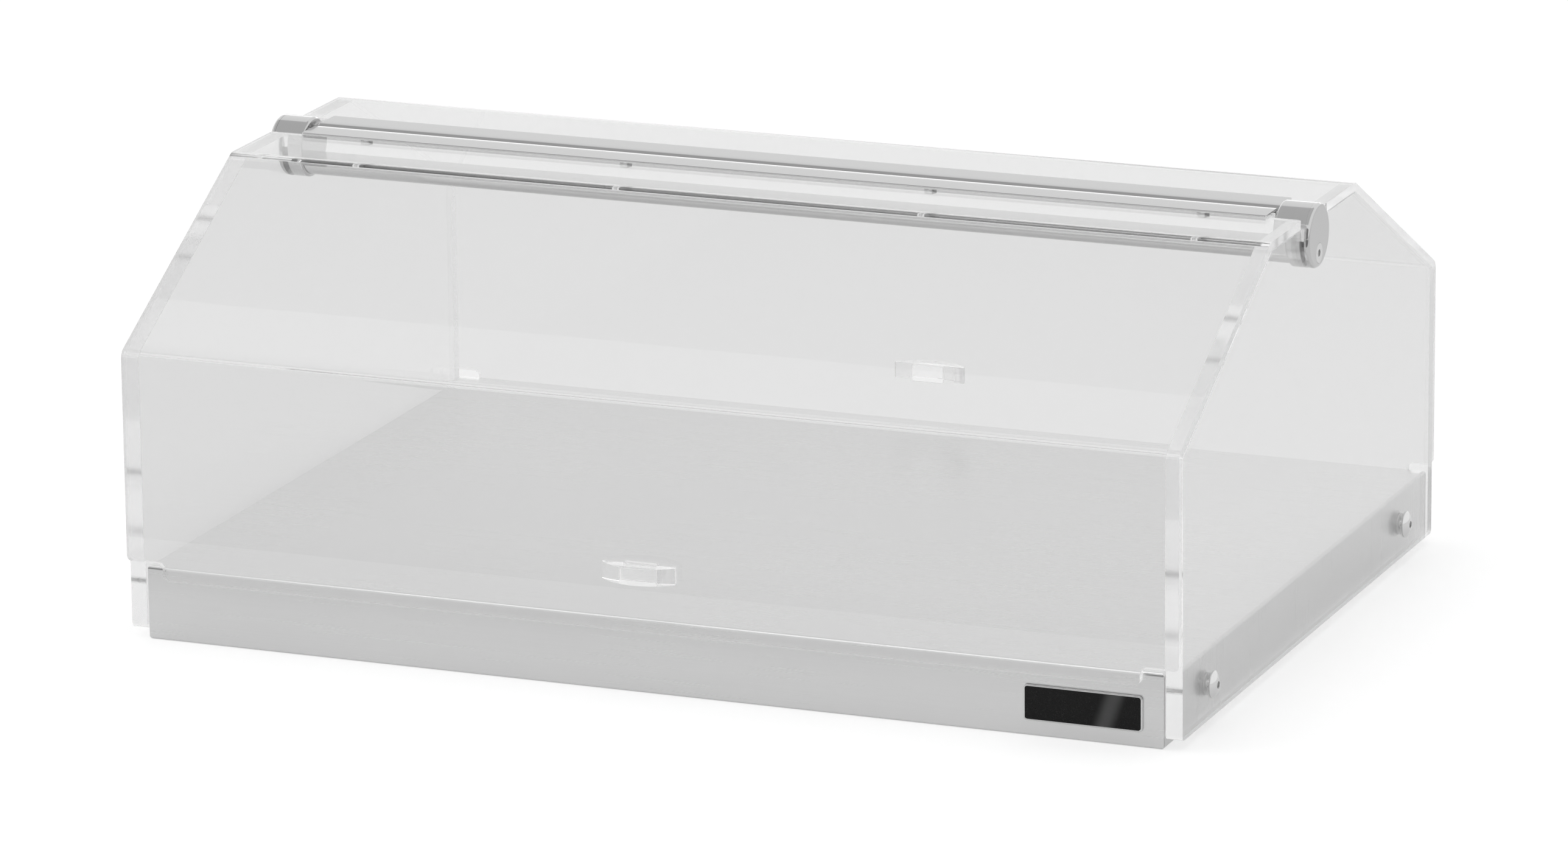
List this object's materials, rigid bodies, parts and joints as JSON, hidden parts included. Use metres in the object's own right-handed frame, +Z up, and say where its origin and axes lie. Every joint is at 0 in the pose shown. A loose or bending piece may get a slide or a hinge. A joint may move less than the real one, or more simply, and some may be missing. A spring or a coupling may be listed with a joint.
{
  "type": "countertop bread display bin",
  "caption": "Low countertop display bin for bread and pastry: steel base tray, clear side panels and two clear bent lids, front and rear, hinged on a bar along the top.",
  "frame": {"origin": "the middle of the footprint, on the worktop surface", "axes": "+X to the right along the hinge bar, -Y towards the front, +Z up"},
  "size_m": [0.6566, 0.4836, 0.2631],
  "materials": {
    "clear_acrylic": "clear, polished",
    "tray_steel": "fine brushed stainless",
    "bar_steel": "polished stainless",
    "leaf_steel": "satin stainless",
    "rod_steel": "ground stainless",
    "plug_metal": "turned, satin",
    "disc_metal": "turned, polished",
    "fastener_steel": "stainless",
    "badge_face": "gloss black, blank"
  },
  "bodies": {
    "root": {"base_tray": "tray_steel", "left_side_panel": "clear_acrylic", "right_side_panel": "clear_acrylic", "side_screws": "fastener_steel", "side_spacers": "fastener_steel", "side_nuts": "fastener_steel", "left_end_plug": "plug_metal", "right_end_plug": "plug_metal", "left_end_disc": "disc_metal", "right_end_disc": "disc_metal", "end_disc_screws": "fastener_steel", "hinge_bar": "bar_steel", "front_hinge_rod": "rod_steel", "rear_hinge_rod": "rod_steel", "badge_plate": "badge_face"},
    "front_lid": {"front_lid": "clear_acrylic", "front_handle": "clear_acrylic", "front_hinge_leaf": "leaf_steel", "front_leaf_nuts": "fastener_steel"},
    "rear_lid": {"rear_lid": "clear_acrylic", "rear_handle": "clear_acrylic", "rear_hinge_leaf": "leaf_steel", "rear_leaf_nuts": "fastener_steel"}
  },
  "joints": [
    {"name": "front_lid_hinge", "type": "hinge", "parent": "root", "child": "front_lid", "pos_m": [0, -0.0045, 0.25512], "axis": [-1, 0, 0], "range_deg": [0, 90]},
    {"name": "rear_lid_hinge", "type": "hinge", "parent": "root", "child": "rear_lid", "pos_m": [0, 0.0045, 0.25512], "axis": [1, 0, 0], "range_deg": [0, 90]}
  ]
}
